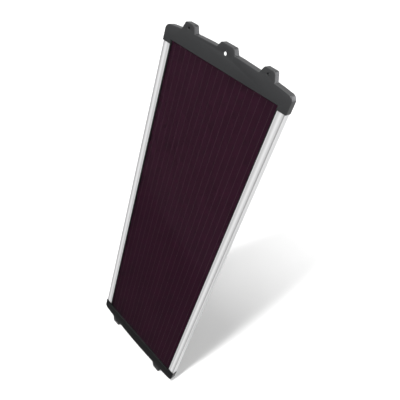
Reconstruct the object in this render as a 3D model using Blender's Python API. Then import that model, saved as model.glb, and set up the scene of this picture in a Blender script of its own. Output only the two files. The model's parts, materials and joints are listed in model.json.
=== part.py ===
"""Framed thin-film solar panel: a glass laminate between two aluminium side rails and two moulded end caps.

The panel stands on its lower end: X is its width, +Z its length, and the glass faces -Y.
Lengths are in millimetres and are scaled to metres where a mesh is made. Every piece hangs on one empty,
whose Y is the front of the end caps, so a piece's own Y is its depth behind that front.
"""

import math

import bmesh
import bpy
from mathutils import Vector

MM = 0.001
GAP = 0.3  # clearance between pieces that touch
LAYER_GAP = 0.25  # clearance between the layers of the laminate
PAST = 1.0  # how far a cutter runs past the face that it opens

# The glass plate and the part of it that shows between the frame's edges.
GLASS_WIDTH = 305.0
GLASS_LENGTH = 915.0
VISIBLE_WIDTH = 293.0
VISIBLE_LENGTH = 905.0

# Depths behind the front of the end caps.
CAP_DEPTH = 16.0
RAIL_FRONT = 1.5
BOX_BACK = 23.0
GLASS_FRONT = 3.8
GLASS_THICK = 3.2
FILM_THICK = 0.25
RIBBON_THICK = 0.15
ENCAPSULANT_THICK = 0.35
SHEET_THICK = 0.4

FILM_FRONT = GLASS_FRONT + GLASS_THICK + LAYER_GAP
BUS_FRONT = FILM_FRONT + FILM_THICK + LAYER_GAP
LEAD_FRONT = BUS_FRONT + RIBBON_THICK + LAYER_GAP
ENCAPSULANT_FRONT = LEAD_FRONT + RIBBON_THICK + LAYER_GAP
SHEET_FRONT = ENCAPSULANT_FRONT + ENCAPSULANT_THICK + LAYER_GAP
SHEET_BACK = SHEET_FRONT + SHEET_THICK

# Glazing gaskets: U sections round the laminate's edges.
GASKET_LIP = 0.6
GASKET_WEB = 0.8
GASKET_FRONT = GLASS_FRONT - LAYER_GAP - GASKET_LIP
GASKET_BACK = SHEET_BACK + LAYER_GAP + GASKET_LIP
GASKET_SHOWING = 2.2
GASKET_BEAD = 0.7

# Side rails.
RAIL_INNER = VISIBLE_WIDTH / 2
RAIL_OUTER = RAIL_INNER + 21.0
RAIL_LIP = 1.2
RAIL_WALL = 1.4
RAIL_CHAMBER_FRONT = RAIL_FRONT + 1.6
RAIL_BOX_INNER = GLASS_WIDTH / 2 + 2 * GAP + GASKET_WEB
RAIL_REAR_LIP = GASKET_BACK + LAYER_GAP
RAIL_INTO_CAP = 18.0
GROOVE_CENTRE = RAIL_INNER + 18.4
GROOVE_WIDTH = 2.8
GROOVE_DEPTH = 0.8

# End caps. Heights are measured outwards from the edge of the visible glass.
CAP_HALF_WIDTH = RAIL_OUTER + RAIL_FRONT
CAP_RISE = 38.3
CAP_SHOULDER = 27.8
CAP_SHOULDER_AT = 162.0
CAP_CORNER_RADIUS = 13.0
CAP_CHAMFER = 0.8
CAP_FACE = GASKET_FRONT - LAYER_GAP
CAP_WALL = 2.2
LEG_LENGTH = 8.6
TAB_HEIGHT = 50.5
TAB_DEPTH = 14.0
TAB_CORNER_RADIUS = 5.5
TAB_ROOT_RADIUS = 3.0
OUTER_TAB_AT = 104.0
OUTER_TAB_BASE = 38.5
OUTER_TAB_TOP = 24.0
MIDDLE_TAB_BASE = 48.0
MIDDLE_TAB_TOP = 33.0
SCREW_HOLE_HEIGHT = 40.5
SCREW_HOLE_RADIUS = 2.5
BOSS_RADIUS = 6.5
HANGING_HOLE_HEIGHT = 33.0
HANGING_HOLE_RADIUS = 4.1
RIB_PLACES = (36.0, 67.0, OUTER_TAB_AT, 134.0)
RIB_THICK = 1.6
RIB_DEPTH = 14.5
GLASS_INTO_CAP = (GLASS_LENGTH - VISIBLE_LENGTH) / 2
CHANNEL_TOP = GLASS_INTO_CAP + GASKET_WEB + 2 * GAP
STOP_THICK = 2.2
TONGUE_REACH = 12.0

# Screws that hold the caps to the rails, put in from the back.
CAP_SCREW_HEIGHTS = (-4.0, 9.0)
CAP_SCREW_AT = 161.0

# Cells: strips of film between scribed lines that run the length of the plate.
CELL_PITCH = 15.83
SCRIBE_COUNT = 18
SCRIBE_WIDTH = 0.8
SCRIBE_DEPTH = 0.12
FILM_MARGIN = 3.0

# Junction box on the back. Its own origin is its middle, at the back sheet.
BOX_BELOW_CAP = 62.0
BOX_WIDTH = 64.0
BOX_HEIGHT = 46.0
BOX_CORNER = 5.0
BOX_WALL = 1.8
BOX_FLOOR = 1.5
PAD_THICK = 0.5
LID_THICK = 1.4
SEAL_THICK = 0.5
LID_SCREW_AT = (26.8, 17.8)
LID_BOSS_RADIUS = 3.4
RIBBON_EXIT = (9.0, 13.0)
GROMMET_SLOT = (9.0, 4.6)
GROMMET_WALL = 0.95
GROMMET_FLANGE = 1.2

BOX_BASE_FRONT = SHEET_BACK + PAD_THICK + 2 * LAYER_GAP
LID_FRONT = BOX_BACK - LID_THICK
SEAL_FRONT = LID_FRONT - LAYER_GAP - SEAL_THICK
BOX_RIM = SEAL_FRONT - LAYER_GAP
BOX_INSIDE = BOX_BASE_FRONT + BOX_FLOOR

# Heights of the visible glass's two ends above the lowest point.
BOTTOM_EDGE = TAB_HEIGHT
TOP_EDGE = BOTTOM_EDGE + VISIBLE_LENGTH
BOX_Z = TOP_EDGE - BOX_BELOW_CAP


def clear_scene():
    for obj in list(bpy.data.objects):
        bpy.data.objects.remove(obj, do_unlink=True)


def make_material(name, colour, roughness, metallic=0.0, transmission=0.0):
    material = bpy.data.materials.new(name)
    material.use_nodes = True
    shader = material.node_tree.nodes["Principled BSDF"]
    shader.inputs["Base Color"].default_value = (*colour, 1.0)
    shader.inputs["Roughness"].default_value = roughness
    shader.inputs["Metallic"].default_value = metallic
    shader.inputs["Transmission Weight"].default_value = transmission
    return material


def make_empty(name, place, parent=None):
    empty = bpy.data.objects.new(name, None)
    bpy.context.scene.collection.objects.link(empty)
    empty.parent = parent
    empty.location = Vector(place) * MM
    return empty


def make_object(name, mesh, material, parent, place=(0, 0, 0)):
    obj = bpy.data.objects.new(name, mesh)
    bpy.context.scene.collection.objects.link(obj)
    obj.parent = parent
    obj.location = Vector(place) * MM
    if material and not mesh.materials:
        mesh.materials.append(material)
    return obj


def loft(rings):
    """A closed solid through flat rings of the same number of points, filled at its two ends."""
    bm = bmesh.new()
    loops = [[bm.verts.new(Vector(point) * MM) for point in ring] for ring in rings]
    count = len(loops[0])
    for low, high in zip(loops, loops[1:]):
        for i in range(count):
            j = (i + 1) % count
            bm.faces.new((low[i], low[j], high[j], high[i]))
    bm.faces.new(loops[0])
    bm.faces.new(loops[-1])
    bmesh.ops.recalc_face_normals(bm, faces=bm.faces)
    mesh = bpy.data.meshes.new("solid")
    bm.to_mesh(mesh)
    bm.free()
    return mesh


def plate(outline, front, back, chamfer=0.0):
    """A plate whose outline is in X and Z, between two depths, with an optional chamfer round its front."""
    rings = [[(x, front, z) for x, z in inset(outline, chamfer)]] if chamfer else []
    rings.append([(x, front + chamfer, z) for x, z in outline])
    rings.append([(x, back, z) for x, z in outline])
    return loft(rings)


def extrusion(section, low, high):
    """A bar whose section is in X and depth, between two heights."""
    return loft([[(x, y, z) for x, y in section] for z in (low, high)])


def block(x, y, z):
    """A box between the two ends given for each direction."""
    corners = [(x[0], z[0]), (x[1], z[0]), (x[1], z[1]), (x[0], z[1])]
    return plate(corners, *y)


def turned(profile, sides=24, axis="Y"):
    """A round solid about one axis, from (distance along the axis, radius) points."""
    angles = [2 * math.pi * i / sides for i in range(sides)]
    order = {"X": (2, 0, 1), "Y": (0, 2, 1), "Z": (0, 1, 2)}[axis]
    rings = []
    for along, radius in profile:
        ring = [(radius * math.cos(a), radius * math.sin(a), along) for a in angles]
        rings.append([[point[i] for i in order] for point in ring])
    mesh = loft(rings)
    mesh.shade_smooth()
    mesh.set_sharp_from_angle(angle=math.radians(35))
    return mesh


def inset(outline, distance):
    """The outline moved inwards by a distance. The outline runs anticlockwise."""
    moved = []
    for i, point in enumerate(outline):
        here = Vector(point)
        before = (here - Vector(outline[i - 1])).normalized()
        after = (Vector(outline[(i + 1) % len(outline)]) - here).normalized()
        mitre = Vector((-before.y - after.y, before.x + after.x)) / (1 + before.dot(after))
        moved.append(tuple(here + mitre * distance))
    return moved


def rounded(corners, step=math.radians(18)):
    """An outline from (x, z, radius) corners, each drawn as an arc of its radius."""
    outline = []
    for i, (x, z, radius) in enumerate(corners):
        here = Vector((x, z))
        if not radius:
            outline.append((x, z))
            continue
        back = (Vector(corners[i - 1][:2]) - here).normalized()
        forward = (Vector(corners[(i + 1) % len(corners)][:2]) - here).normalized()
        half = back.angle(forward) / 2
        centre = here + (back + forward).normalized() * radius / math.sin(half)
        first = here + back * radius / math.tan(half) - centre
        last = here + forward * radius / math.tan(half) - centre
        turn = math.atan2(first.x * last.y - first.y * last.x, first.dot(last))
        pieces = max(2, round(abs(turn) / step))
        start = math.atan2(first.y, first.x)
        for n in range(pieces + 1):
            angle = start + turn * n / pieces
            outline.append((centre.x + radius * math.cos(angle), centre.y + radius * math.sin(angle)))
    return outline


def rounded_rectangle(width, height, radius):
    x, z = width / 2, height / 2
    return rounded([(-x, -z, radius), (x, -z, radius), (x, z, radius), (-x, z, radius)])


def helper(name, mesh, parent, place=(0, 0, 0)):
    """A solid that only shapes another piece. It is faceted, so that the faces that it cuts stay crisp."""
    mesh.shade_flat()
    obj = make_object(name, mesh, None, parent, place)
    obj.hide_render = True
    obj.display_type = "WIRE"
    return obj


def shape(obj, operation, mesh, place=(0, 0, 0)):
    """Cuts the mesh from the object, or adds it, with a Boolean."""
    modifier = obj.modifiers.new(operation.title(), "BOOLEAN")
    modifier.operation = operation
    modifier.solver = "EXACT"
    tool_name = f"{obj.name}_tool_{len(obj.modifiers)}"
    modifier.object = helper(tool_name, mesh, obj.parent, Vector(place) + obj.location / MM)


def cut(obj, mesh, place=(0, 0, 0)):
    shape(obj, "DIFFERENCE", mesh, place)


def add(obj, mesh, place=(0, 0, 0)):
    shape(obj, "UNION", mesh, place)


def mirrored(outline):
    return [(-x, y) for x, y in outline]


# ---------------------------------------------------------------- end caps


def cap_arc(x):
    """Height of the cap's gently curved outer edge."""
    radius = (CAP_SHOULDER_AT**2 + (CAP_RISE - CAP_SHOULDER) ** 2) / (2 * (CAP_RISE - CAP_SHOULDER))
    return CAP_RISE - radius + math.sqrt(radius**2 - x**2)


def arc_stretch(first, last, spacing=9.0):
    """Points of the curved edge strictly between two places."""
    pieces = max(1, round(abs(last - first) / spacing))
    places = [first + (last - first) * n / pieces for n in range(1, pieces)]
    return [(x, cap_arc(x), 0) for x in places]


def tab(middle, base, top):
    """A tab's four corners, right to left."""
    right, left = middle + base / 2, middle - base / 2
    return [
        (right, cap_arc(right), TAB_ROOT_RADIUS),
        (middle + top / 2, TAB_HEIGHT, TAB_CORNER_RADIUS),
        (middle - top / 2, TAB_HEIGHT, TAB_CORNER_RADIUS),
        (left, cap_arc(left), TAB_ROOT_RADIUS),
    ]


def cap_outline(has_middle_tab):
    """The cap's front outline, anticlockwise from its right leg."""
    tabs = [(OUTER_TAB_AT, OUTER_TAB_BASE, OUTER_TAB_TOP)]
    if has_middle_tab:
        tabs.append((0.0, MIDDLE_TAB_BASE, MIDDLE_TAB_TOP))
    tabs.append((-OUTER_TAB_AT, OUTER_TAB_BASE, OUTER_TAB_TOP))
    shoulder = cap_arc(CAP_HALF_WIDTH)
    corners = [
        (RAIL_INNER, 0, 0),
        (RAIL_INNER, -LEG_LENGTH, 0.8),
        (CAP_HALF_WIDTH, -LEG_LENGTH, 1.5),
        (CAP_HALF_WIDTH, shoulder, CAP_CORNER_RADIUS),
    ]
    last = CAP_HALF_WIDTH - 2 * CAP_CORNER_RADIUS
    for middle, base, top in tabs:
        corners += arc_stretch(last, middle + base / 2 + TAB_ROOT_RADIUS)
        corners += tab(middle, base, top)
        last = middle - base / 2 - TAB_ROOT_RADIUS
    corners += arc_stretch(last, 2 * CAP_CORNER_RADIUS - CAP_HALF_WIDTH)
    corners += [
        (-CAP_HALF_WIDTH, shoulder, CAP_CORNER_RADIUS),
        (-CAP_HALF_WIDTH, -LEG_LENGTH, 1.5),
        (-RAIL_INNER, -LEG_LENGTH, 0.8),
        (-RAIL_INNER, 0, 0),
    ]
    return rounded(corners)


def cap_pocket(outline):
    """The hollow behind the cap's face, clear of the glass channel and of the walls that the rails meet."""
    side = RAIL_INNER - STOP_THICK
    stop = RAIL_INTO_CAP + GAP + STOP_THICK
    bottom = CHANNEL_TOP + CAP_WALL
    inner = [point for point in inset(outline, CAP_WALL) if point[1] > stop]
    low = [(-side, stop), (-side, bottom), (side, bottom), (side, stop)]
    return [*inner, (inner[-1][0], stop), *low, (inner[0][0], stop)]


def build_cap(name, material, parent, edge, outward, has_middle_tab):
    """outward is 1 for the upper cap and -1 for the lower one, whose heights run downwards."""

    def turn(outline):
        return [(x, z * outward) for x, z in outline][::outward]

    def across(low, high):
        return sorted((low * outward, high * outward))

    outline = cap_outline(has_middle_tab)
    face = plate(turn(outline), 0, CAP_DEPTH, CAP_CHAMFER)
    cap = make_object(name, face, material, parent, (0, 0, edge))
    behind = CAP_DEPTH + PAST
    channel = RAIL_INNER + PAST / 2
    full = (-CAP_HALF_WIDTH - PAST, CAP_HALF_WIDTH + PAST)

    over_arc = [(x, z) for x, z, _ in arc_stretch(full[0], full[1])]
    above = [(over_arc[-1][0], TAB_HEIGHT + PAST), (over_arc[0][0], TAB_HEIGHT + PAST)]
    cut(cap, plate(turn(over_arc + above), TAB_DEPTH, behind))
    cut(cap, plate(turn(cap_pocket(outline)), CAP_FACE, behind))
    cut(cap, block((-channel, channel), (CAP_FACE, RAIL_REAR_LIP), across(-LEG_LENGTH, CHANNEL_TOP)))
    rear = (RAIL_REAR_LIP + CAP_WALL, behind)
    cut(cap, block((-channel, channel), rear, across(-LEG_LENGTH, CHANNEL_TOP + CAP_WALL + PAST)))
    for side in (-1, 1):
        socket = sorted((side * (RAIL_INNER - GAP), side * (RAIL_OUTER + GAP)))
        along = across(-LEG_LENGTH - PAST, RAIL_INTO_CAP + GAP)
        cut(cap, block(socket, (RAIL_FRONT - GAP, behind), along))

    for side in (-1, 1):
        chamber = (RAIL_BOX_INNER + RAIL_WALL, RAIL_OUTER - RAIL_WALL)
        tongue = sorted((side * (chamber[0] + GAP), side * (chamber[1] - GAP)))
        depth = (RAIL_CHAMBER_FRONT + GAP, CAP_DEPTH - RAIL_WALL - GAP)
        add(cap, block(tongue, depth, across(-TONGUE_REACH, RAIL_INTO_CAP + PAST)))
        for place in RIB_PLACES:
            rib = (side * place - RIB_THICK / 2, side * place + RIB_THICK / 2)
            top = SCREW_HOLE_HEIGHT - BOSS_RADIUS / 2 if place == OUTER_TAB_AT else cap_arc(place) - PAST
            add(cap, block(rib, (CAP_FACE - PAST, RIB_DEPTH), across(CHANNEL_TOP + PAST, top)))
        boss = turned([(CAP_FACE - PAST, BOSS_RADIUS), (CAP_DEPTH, BOSS_RADIUS)])
        hole = turned([(-PAST, SCREW_HOLE_RADIUS), (behind, SCREW_HOLE_RADIUS)])
        at = (side * OUTER_TAB_AT, 0, outward * SCREW_HOLE_HEIGHT)
        add(cap, boss, at)
        cut(cap, hole, at)
        for height in CAP_SCREW_HEIGHTS:
            pilot = turned([(CAP_DEPTH - 10.5, 1.5), (behind, 1.5)], sides=16)
            cut(cap, pilot, (side * CAP_SCREW_AT, 0, outward * height))
    if has_middle_tab:
        hanging = turned([(-PAST, HANGING_HOLE_RADIUS), (CAP_FACE + PAST, HANGING_HOLE_RADIUS)], sides=32)
        cut(cap, hanging, (0, 0, HANGING_HOLE_HEIGHT))
    return cap


# ---------------------------------------------------------------- side rails and gaskets


def rail_section():
    """The right rail's section: a box, with two lips that hold the laminate and a groove along its front."""
    groove = (GROOVE_CENTRE - GROOVE_WIDTH / 2, GROOVE_CENTRE + GROOVE_WIDTH / 2)
    floor = RAIL_FRONT + GROOVE_DEPTH
    return [
        (RAIL_INNER + 0.4, RAIL_FRONT),
        (groove[0], RAIL_FRONT),
        (groove[0] + 0.5, floor),
        (groove[1] - 0.5, floor),
        (groove[1], RAIL_FRONT),
        (RAIL_OUTER - 0.4, RAIL_FRONT),
        (RAIL_OUTER, RAIL_FRONT + 0.4),
        (RAIL_OUTER, CAP_DEPTH - 0.5),
        (RAIL_OUTER - 0.5, CAP_DEPTH),
        (RAIL_BOX_INNER, CAP_DEPTH),
        (RAIL_BOX_INNER, RAIL_REAR_LIP + RAIL_LIP),
        (RAIL_INNER + 1.0, RAIL_REAR_LIP + RAIL_LIP),
        (RAIL_INNER + 1.0, RAIL_REAR_LIP),
        (RAIL_BOX_INNER, RAIL_REAR_LIP),
        (RAIL_BOX_INNER, RAIL_FRONT + RAIL_LIP),
        (RAIL_INNER, RAIL_FRONT + RAIL_LIP),
        (RAIL_INNER, RAIL_FRONT + 0.4),
    ]


def build_rail(name, material, parent, side):
    low, high = BOTTOM_EDGE - RAIL_INTO_CAP, TOP_EDGE + RAIL_INTO_CAP
    section = rail_section() if side > 0 else mirrored(rail_section())
    rail = make_object(name, extrusion(section, low, high), material, parent)
    chamber = sorted((side * (RAIL_BOX_INNER + RAIL_WALL), side * (RAIL_OUTER - RAIL_WALL)))
    depth = (RAIL_CHAMBER_FRONT, CAP_DEPTH - RAIL_WALL)
    cut(rail, block(chamber, depth, (low - PAST, high + PAST)))
    countersink = [(CAP_DEPTH - RAIL_WALL - PAST, 1.7), (CAP_DEPTH - 1.3, 1.7), (CAP_DEPTH + 0.3, 3.3)]
    for place in cap_screw_places(side):
        cut(rail, turned(countersink, sides=20), place)
    return rail


def cap_screw_places(side):
    """Where the cap screws sit on one rail, from the bottom up."""
    below = [BOTTOM_EDGE - height for height in reversed(CAP_SCREW_HEIGHTS)]
    above = [TOP_EDGE + height for height in CAP_SCREW_HEIGHTS]
    return [(side * CAP_SCREW_AT, 0, z) for z in below + above]


def build_side_gasket(name, material, parent, side):
    inner = RAIL_INNER - GASKET_SHOWING
    web = GLASS_WIDTH / 2 + GAP
    section = [
        (inner, GASKET_FRONT + GASKET_LIP),
        (inner, GASKET_FRONT + GASKET_LIP / 2),
        (inner + 0.5, GASKET_FRONT - GASKET_BEAD / 2),
        (RAIL_INNER - 0.7, GASKET_FRONT - GASKET_BEAD),
        (RAIL_INNER - 0.3, GASKET_FRONT),
        (web + GASKET_WEB, GASKET_FRONT),
        (web + GASKET_WEB, GASKET_BACK),
        (RAIL_INNER, GASKET_BACK),
        (RAIL_INNER, GASKET_BACK - GASKET_LIP),
        (web, GASKET_BACK - GASKET_LIP),
        (web, GASKET_FRONT + GASKET_LIP),
    ]
    if side < 0:
        section = mirrored(section)
    low, high = BOTTOM_EDGE - GLASS_INTO_CAP, TOP_EDGE + GLASS_INTO_CAP
    gasket = make_object(name, extrusion(section, low, high), material, parent)
    bead = sorted((side * (inner - PAST), side * (RAIL_INNER - 0.3)))
    depth = (GASKET_FRONT - GASKET_BEAD - PAST, GASKET_FRONT)
    for end, inside in ((low, BOTTOM_EDGE + GAP), (high, TOP_EDGE - GAP)):
        beyond = end + math.copysign(PAST, end - inside)
        cut(gasket, block(bead, depth, sorted((beyond, inside))))
    return gasket


def build_end_gasket(name, material, parent, edge, outward):
    half = RAIL_INNER - GASKET_SHOWING - GAP
    web = GLASS_INTO_CAP + GAP
    outer = web + GASKET_WEB
    section = [
        (GASKET_FRONT, -0.8),
        (GASKET_FRONT, outer),
        (GASKET_BACK, outer),
        (GASKET_BACK, -0.8),
        (GASKET_BACK - GASKET_LIP, -0.8),
        (GASKET_BACK - GASKET_LIP, web),
        (GASKET_FRONT + GASKET_LIP, web),
        (GASKET_FRONT + GASKET_LIP, -0.8),
    ]
    rings = [[(x, y, height * outward) for y, height in section] for x in (-half, half)]
    return make_object(name, loft(rings), material, parent, (0, 0, edge))


# ---------------------------------------------------------------- laminate


def build_layer(name, material, parent, front, thick, margin):
    """One flat sheet of the laminate, smaller than the glass by a margin on each side."""
    half = GLASS_WIDTH / 2 - margin
    low = BOTTOM_EDGE - GLASS_INTO_CAP + margin
    high = TOP_EDGE + GLASS_INTO_CAP - margin
    return make_object(name, block((-half, half), (front, front + thick), (low, high)), material, parent)


def build_glass(material, parent):
    """The front plate, with its long edges ground off."""
    half, arris = GLASS_WIDTH / 2, 0.4
    front, back = GLASS_FRONT, GLASS_FRONT + GLASS_THICK
    section = [
        (-half, front + arris),
        (-half + arris, front),
        (half - arris, front),
        (half, front + arris),
        (half, back - arris),
        (half - arris, back),
        (-half + arris, back),
        (-half, back - arris),
    ]
    mesh = extrusion(section, BOTTOM_EDGE - GLASS_INTO_CAP, TOP_EDGE + GLASS_INTO_CAP)
    return make_object("front_glass", mesh, material, parent)


def scribe_places():
    return [(n - (SCRIBE_COUNT - 1) / 2) * CELL_PITCH for n in range(SCRIBE_COUNT)]


def build_film(material, parent):
    """The cell film, with a scribed line between each two cells on its back."""
    half = GLASS_WIDTH / 2 - FILM_MARGIN
    back = FILM_FRONT + FILM_THICK
    section = [(half, back), (half, FILM_FRONT), (-half, FILM_FRONT), (-half, back)]
    for x in scribe_places():
        left, right = x - SCRIBE_WIDTH / 2, x + SCRIBE_WIDTH / 2
        floor = back - SCRIBE_DEPTH
        section += [(left, back), (left, floor), (right, floor), (right, back)]
    low = BOTTOM_EDGE - GLASS_INTO_CAP + FILM_MARGIN
    high = TOP_EDGE + GLASS_INTO_CAP - FILM_MARGIN
    return make_object("thin_film_cells", extrusion(section, low, high), material, parent)


def build_ribbons(copper, insulator, parent):
    """A bus ribbon along each side, and two leads that cross to the junction box and turn out at the back."""
    bus_outer, bus_width, lead_width = 149.0, 4.0, 5.0
    exit_x, exit_z = RIBBON_EXIT
    lead_z = BOX_Z + exit_z
    for side, name in ((-1, "left"), (1, "right")):
        bus = sorted((side * bus_outer, side * (bus_outer - bus_width)))
        ends = (BOTTOM_EDGE + 2.0, TOP_EDGE - 2.0)
        depth = (BUS_FRONT, BUS_FRONT + RIBBON_THICK)
        make_object(f"bus_ribbon_{name}", block(bus, depth, ends), copper, parent)
        section = [
            (side * (bus_outer - bus_width / 2), LEAD_FRONT),
            (side * (bus_outer - bus_width / 2), LEAD_FRONT + RIBBON_THICK),
            (side * (exit_x + RIBBON_THICK), LEAD_FRONT + RIBBON_THICK),
            (side * (exit_x + RIBBON_THICK), BOX_INSIDE + 2.6),
            (side * exit_x, BOX_INSIDE + 2.6),
            (side * exit_x, LEAD_FRONT),
        ]
        mesh = extrusion(section, lead_z - lead_width / 2, lead_z + lead_width / 2)
        make_object(f"lead_ribbon_{name}", mesh, copper, parent)
    half = bus_outer - bus_width - 2 * GAP
    strip = block((-half, half), (BUS_FRONT, BUS_FRONT + RIBBON_THICK), (lead_z - 4.0, lead_z + 4.0))
    make_object("lead_insulating_strip", strip, insulator, parent)


def ribbon_windows(obj, front, back, height):
    """Lets the two leads through a layer, at a height above the layer's own origin."""
    for side in (-1, 1):
        x = side * (RIBBON_EXIT[0] + RIBBON_THICK / 2)
        cut(obj, block((x - 1.0, x + 1.0), (front, back), (height - 3.2, height + 3.2)))


# ---------------------------------------------------------------- junction box


def stadium(width, height):
    """A slot outline with round ends, a little short of full rounds so that its corners stay apart."""
    return rounded_rectangle(width, height, height / 2 - 0.02)


def slot_bar(width, height, low, high, middle):
    """A bar of stadium section that runs along Z, its middle at the given depth."""
    return loft([[(x, middle + y, z) for x, y in stadium(width, height)] for z in (low, high)])


def build_junction_box(plastic, foam, rubber, steel, parent):
    outline = rounded_rectangle(BOX_WIDTH, BOX_HEIGHT, BOX_CORNER)
    inside = inset(outline, BOX_WALL)
    middle = (BOX_INSIDE + BOX_RIM) / 2
    bottom = -BOX_HEIGHT / 2

    pad_outline = inset(outline, 2.0)
    pad_front = SHEET_BACK + LAYER_GAP
    pad_mesh = plate(pad_outline, pad_front, pad_front + PAD_THICK)
    pad = make_object("junction_box_pad", pad_mesh, foam, parent)
    ribbon_windows(pad, pad_front - PAST, pad_front + PAD_THICK + PAST, RIBBON_EXIT[1])

    base = make_object("junction_box_base", plate(outline, BOX_BASE_FRONT, BOX_RIM), plastic, parent)
    cut(base, plate(inside, BOX_INSIDE, BOX_RIM + PAST))
    seal_back = SEAL_FRONT + SEAL_THICK
    seal_mesh = plate(inset(outline, 0.3), SEAL_FRONT, seal_back)
    seal = make_object("junction_box_seal", seal_mesh, rubber, parent)
    cut(seal, plate(inside, SEAL_FRONT - PAST, seal_back + PAST))
    lid = make_object("junction_box_lid", plate(outline, LID_FRONT, BOX_BACK), plastic, parent)
    edge = lid.modifiers.new("Edge", "BEVEL")
    edge.width = 0.5 * MM
    edge.segments = 2
    edge.angle_limit = math.radians(60)

    screw_mesh = countersunk_screw(head_radius=2.1, shank_radius=1.05, length=7.0)
    screw_x, screw_z = LID_SCREW_AT
    corners = ((-1, 1, "top_left"), (1, 1, "top_right"), (-1, -1, "bottom_left"), (1, -1, "bottom_right"))
    for right, up, corner in corners:
        at = (right * screw_x, 0, up * screw_z)
        add(base, turned([(BOX_BASE_FRONT + 0.5, LID_BOSS_RADIUS), (BOX_RIM, LID_BOSS_RADIUS)]), at)
        add(seal, turned([(SEAL_FRONT, LID_BOSS_RADIUS), (seal_back, LID_BOSS_RADIUS)]), at)
        cut(base, turned([(BOX_RIM - 6.5, 1.35), (BOX_RIM + PAST, 1.35)], sides=16), at)
        cut(seal, turned([(SEAL_FRONT - PAST, 1.6), (seal_back + PAST, 1.6)], sides=16), at)
        countersink = [(LID_FRONT - PAST, 1.4), (BOX_BACK - 1.1, 1.4), (BOX_BACK + 0.3, 2.8)]
        cut(lid, turned(countersink, sides=20), at)
        place_screw(f"lid_screw_{corner}", screw_mesh, steel, parent, (at[0], BOX_BACK - 0.1, at[2]), 1.2)

    ribbon_windows(base, BOX_BASE_FRONT - PAST, BOX_INSIDE + PAST, RIBBON_EXIT[1])
    neck_width, neck_height = (size + 2 * GROMMET_WALL for size in GROMMET_SLOT)
    hole_size = (neck_width + 2 * GAP, neck_height + 2 * GAP)
    cut(base, slot_bar(*hole_size, bottom - PAST, bottom + BOX_WALL + PAST, middle))

    outer = bottom - GAP - GROMMET_FLANGE
    inner = bottom + BOX_WALL + GAP + GROMMET_FLANGE
    neck = slot_bar(neck_width, neck_height, outer, inner, middle)
    grommet = make_object("cable_grommet", neck, rubber, parent)
    flange_size = (neck_width + 2.4, neck_height + 1.4)
    add(grommet, slot_bar(*flange_size, outer - 0.2, outer + GROMMET_FLANGE, middle))
    add(grommet, slot_bar(*flange_size, inner - GROMMET_FLANGE, inner + 0.2, middle))
    cut(grommet, slot_bar(*GROMMET_SLOT, outer - PAST, inner + PAST, middle))


def build_terminals(plastic, brass, steel, diode_case, parent):
    """A two-way screw terminal block on the box's floor, and the diode that stops the battery draining."""
    block_middle, block_half = -2.0, 5.5
    floor = BOX_INSIDE + GAP
    top = floor + 7.2
    way_pitch, way_half = 8.0, 3.0
    ends = (block_middle - block_half, block_middle + block_half)
    body = block((-way_pitch - 1.0, way_pitch + 1.0), (floor, top), ends)
    terminal_block = make_object("terminal_block", body, plastic, parent)
    clamp_front, clamp_back = floor + 1.2, floor + 6.0
    for side, name in ((-1, "negative"), (1, "positive")):
        x = side * way_pitch / 2
        way_depth = (clamp_front - GAP, clamp_back + GAP)
        way_ends = (ends[0] - PAST, ends[1] + PAST)
        cut(terminal_block, block((x - way_half, x + way_half), way_depth, way_ends))
        at = (x, 0, block_middle)
        cut(terminal_block, turned([(clamp_back - PAST, 2.0), (top + PAST, 2.0)], sides=20), at)
        reach = way_half - GAP
        clamp_ends = (ends[0] + 0.8, ends[1] - 0.8)
        clamp_body = block((x - reach, x + reach), (clamp_front, clamp_back), clamp_ends)
        clamp = make_object(f"terminal_clamp_{name}", clamp_body, brass, parent)
        bore = turned([(clamp_ends[0] - PAST, 1.4), (clamp_ends[1] + PAST, 1.4)], sides=20, axis="Z")
        cut(clamp, bore, (x, clamp_front + 1.9, 0))
        cut(clamp, turned([(clamp_front + 2.0, 1.55), (clamp_back + PAST, 1.55)], sides=20), at)
        stud = turned([(clamp_front + 3.7, 1.2), (top - 0.6, 1.2)])
        screw = make_object(f"clamp_screw_{name}", stud, steel, parent, at)
        cut(screw, block((-1.5, 1.5), (top - 1.2, top + PAST), (-0.3, 0.3)))

    lead_radius, body_radius = 0.6, 2.6
    half = 4.7
    profile = [(-6.6, lead_radius), (-half, lead_radius)]
    profile += [(-half, body_radius - 0.2), (-half + 0.2, body_radius)]
    profile += [(-along, radius) for along, radius in reversed(profile)]
    diode_at = (0, BOX_INSIDE + body_radius + 2 * GAP, RIBBON_EXIT[1] - 5.0)
    make_object("blocking_diode", turned(profile, axis="X"), diode_case, parent, diode_at)


# ---------------------------------------------------------------- screws


def countersunk_screw(head_radius, shank_radius, length):
    """A screw that points into the panel, its head's flat top at its origin."""
    cone = head_radius - shank_radius
    profile = [
        (0.0, head_radius - 0.1),
        (-0.15, head_radius),
        (-0.15 - cone, shank_radius),
        (0.6 - length, shank_radius),
        (-length, shank_radius * 0.4),
    ]
    return turned(profile, sides=20)


def place_screw(name, mesh, material, parent, at, reach):
    """One screw, with the cross recess in its head."""
    screw = make_object(name, mesh, material, parent, at)
    half = reach / 4
    quarter = [(half, half), (half, reach), (-half, reach)]
    cross = []
    for cos, sin in ((1, 0), (0, 1), (-1, 0), (0, -1)):
        cross += [(x * cos - z * sin, x * sin + z * cos) for x, z in quarter]
    cut(screw, plate(cross, -0.7, PAST))


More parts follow.
